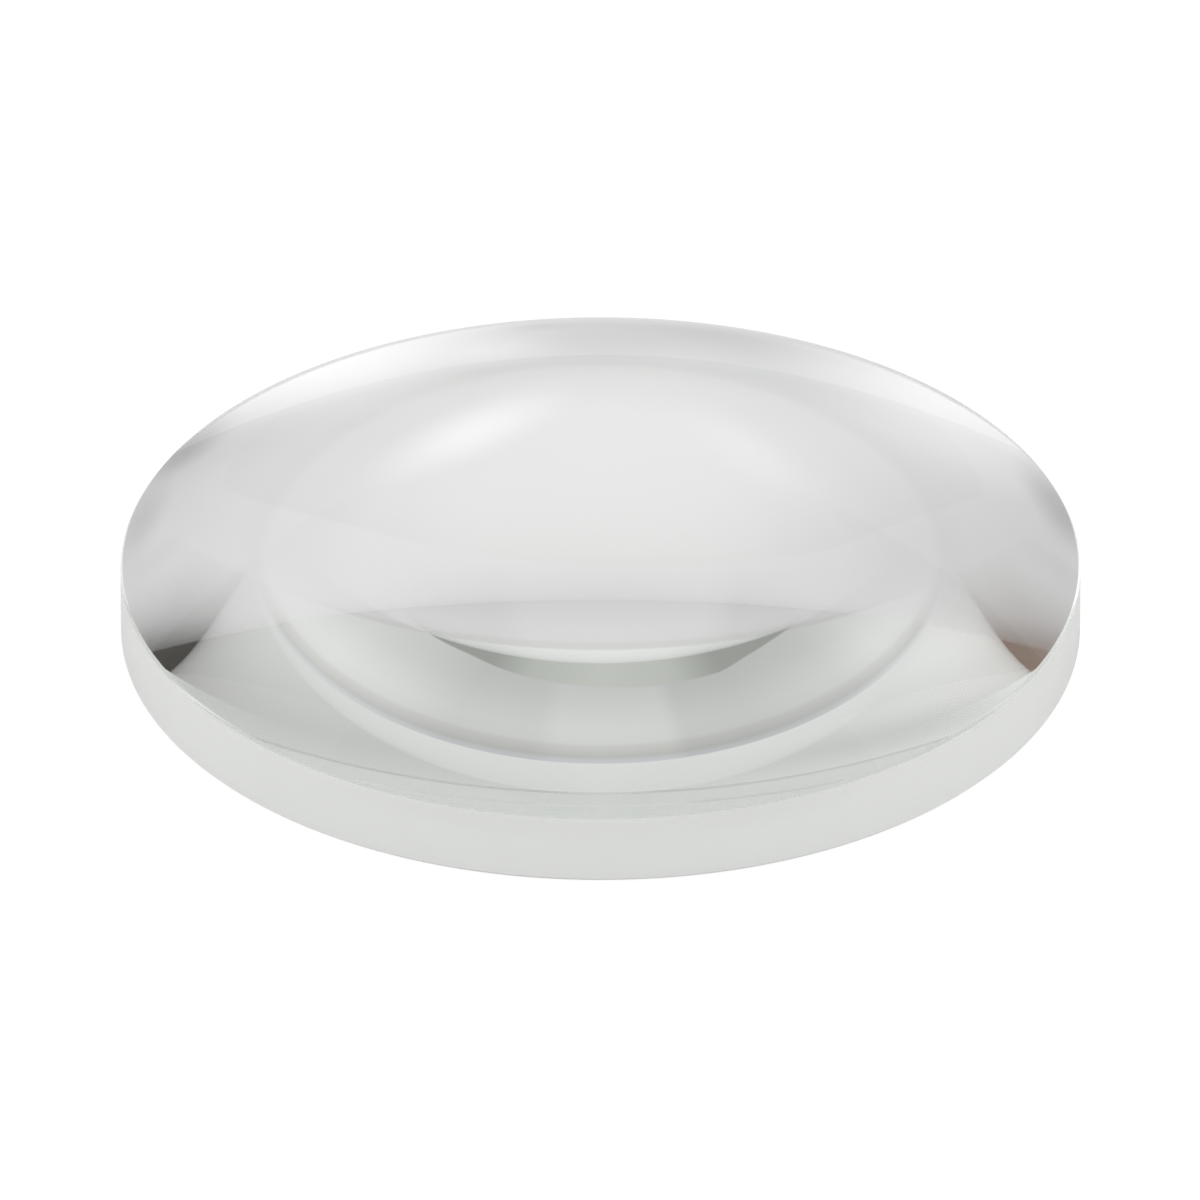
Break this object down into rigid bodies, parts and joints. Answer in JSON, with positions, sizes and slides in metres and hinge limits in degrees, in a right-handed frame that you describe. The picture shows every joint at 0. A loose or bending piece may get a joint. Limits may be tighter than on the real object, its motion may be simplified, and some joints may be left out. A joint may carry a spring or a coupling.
{
  "type": "aspheric lens",
  "caption": "Aspheric lens with a domed front, a weakly convex rear inside a flat seating ring, and a straight ground edge.",
  "frame": {"origin": "rear vertex of the lens: the lowest point of the rear surface, on the optical axis", "axes": "+Z along the optical axis towards the aspheric front; turned about +Z it looks the same"},
  "size_m": [0.05, 0.05, 0.0102],
  "materials": {
    "optical_glass": "clear optical glass, polished front and rear, fine-ground outer edge"
  },
  "bodies": {
    "root": {"lens": "optical_glass"}
  },
  "joints": []
}
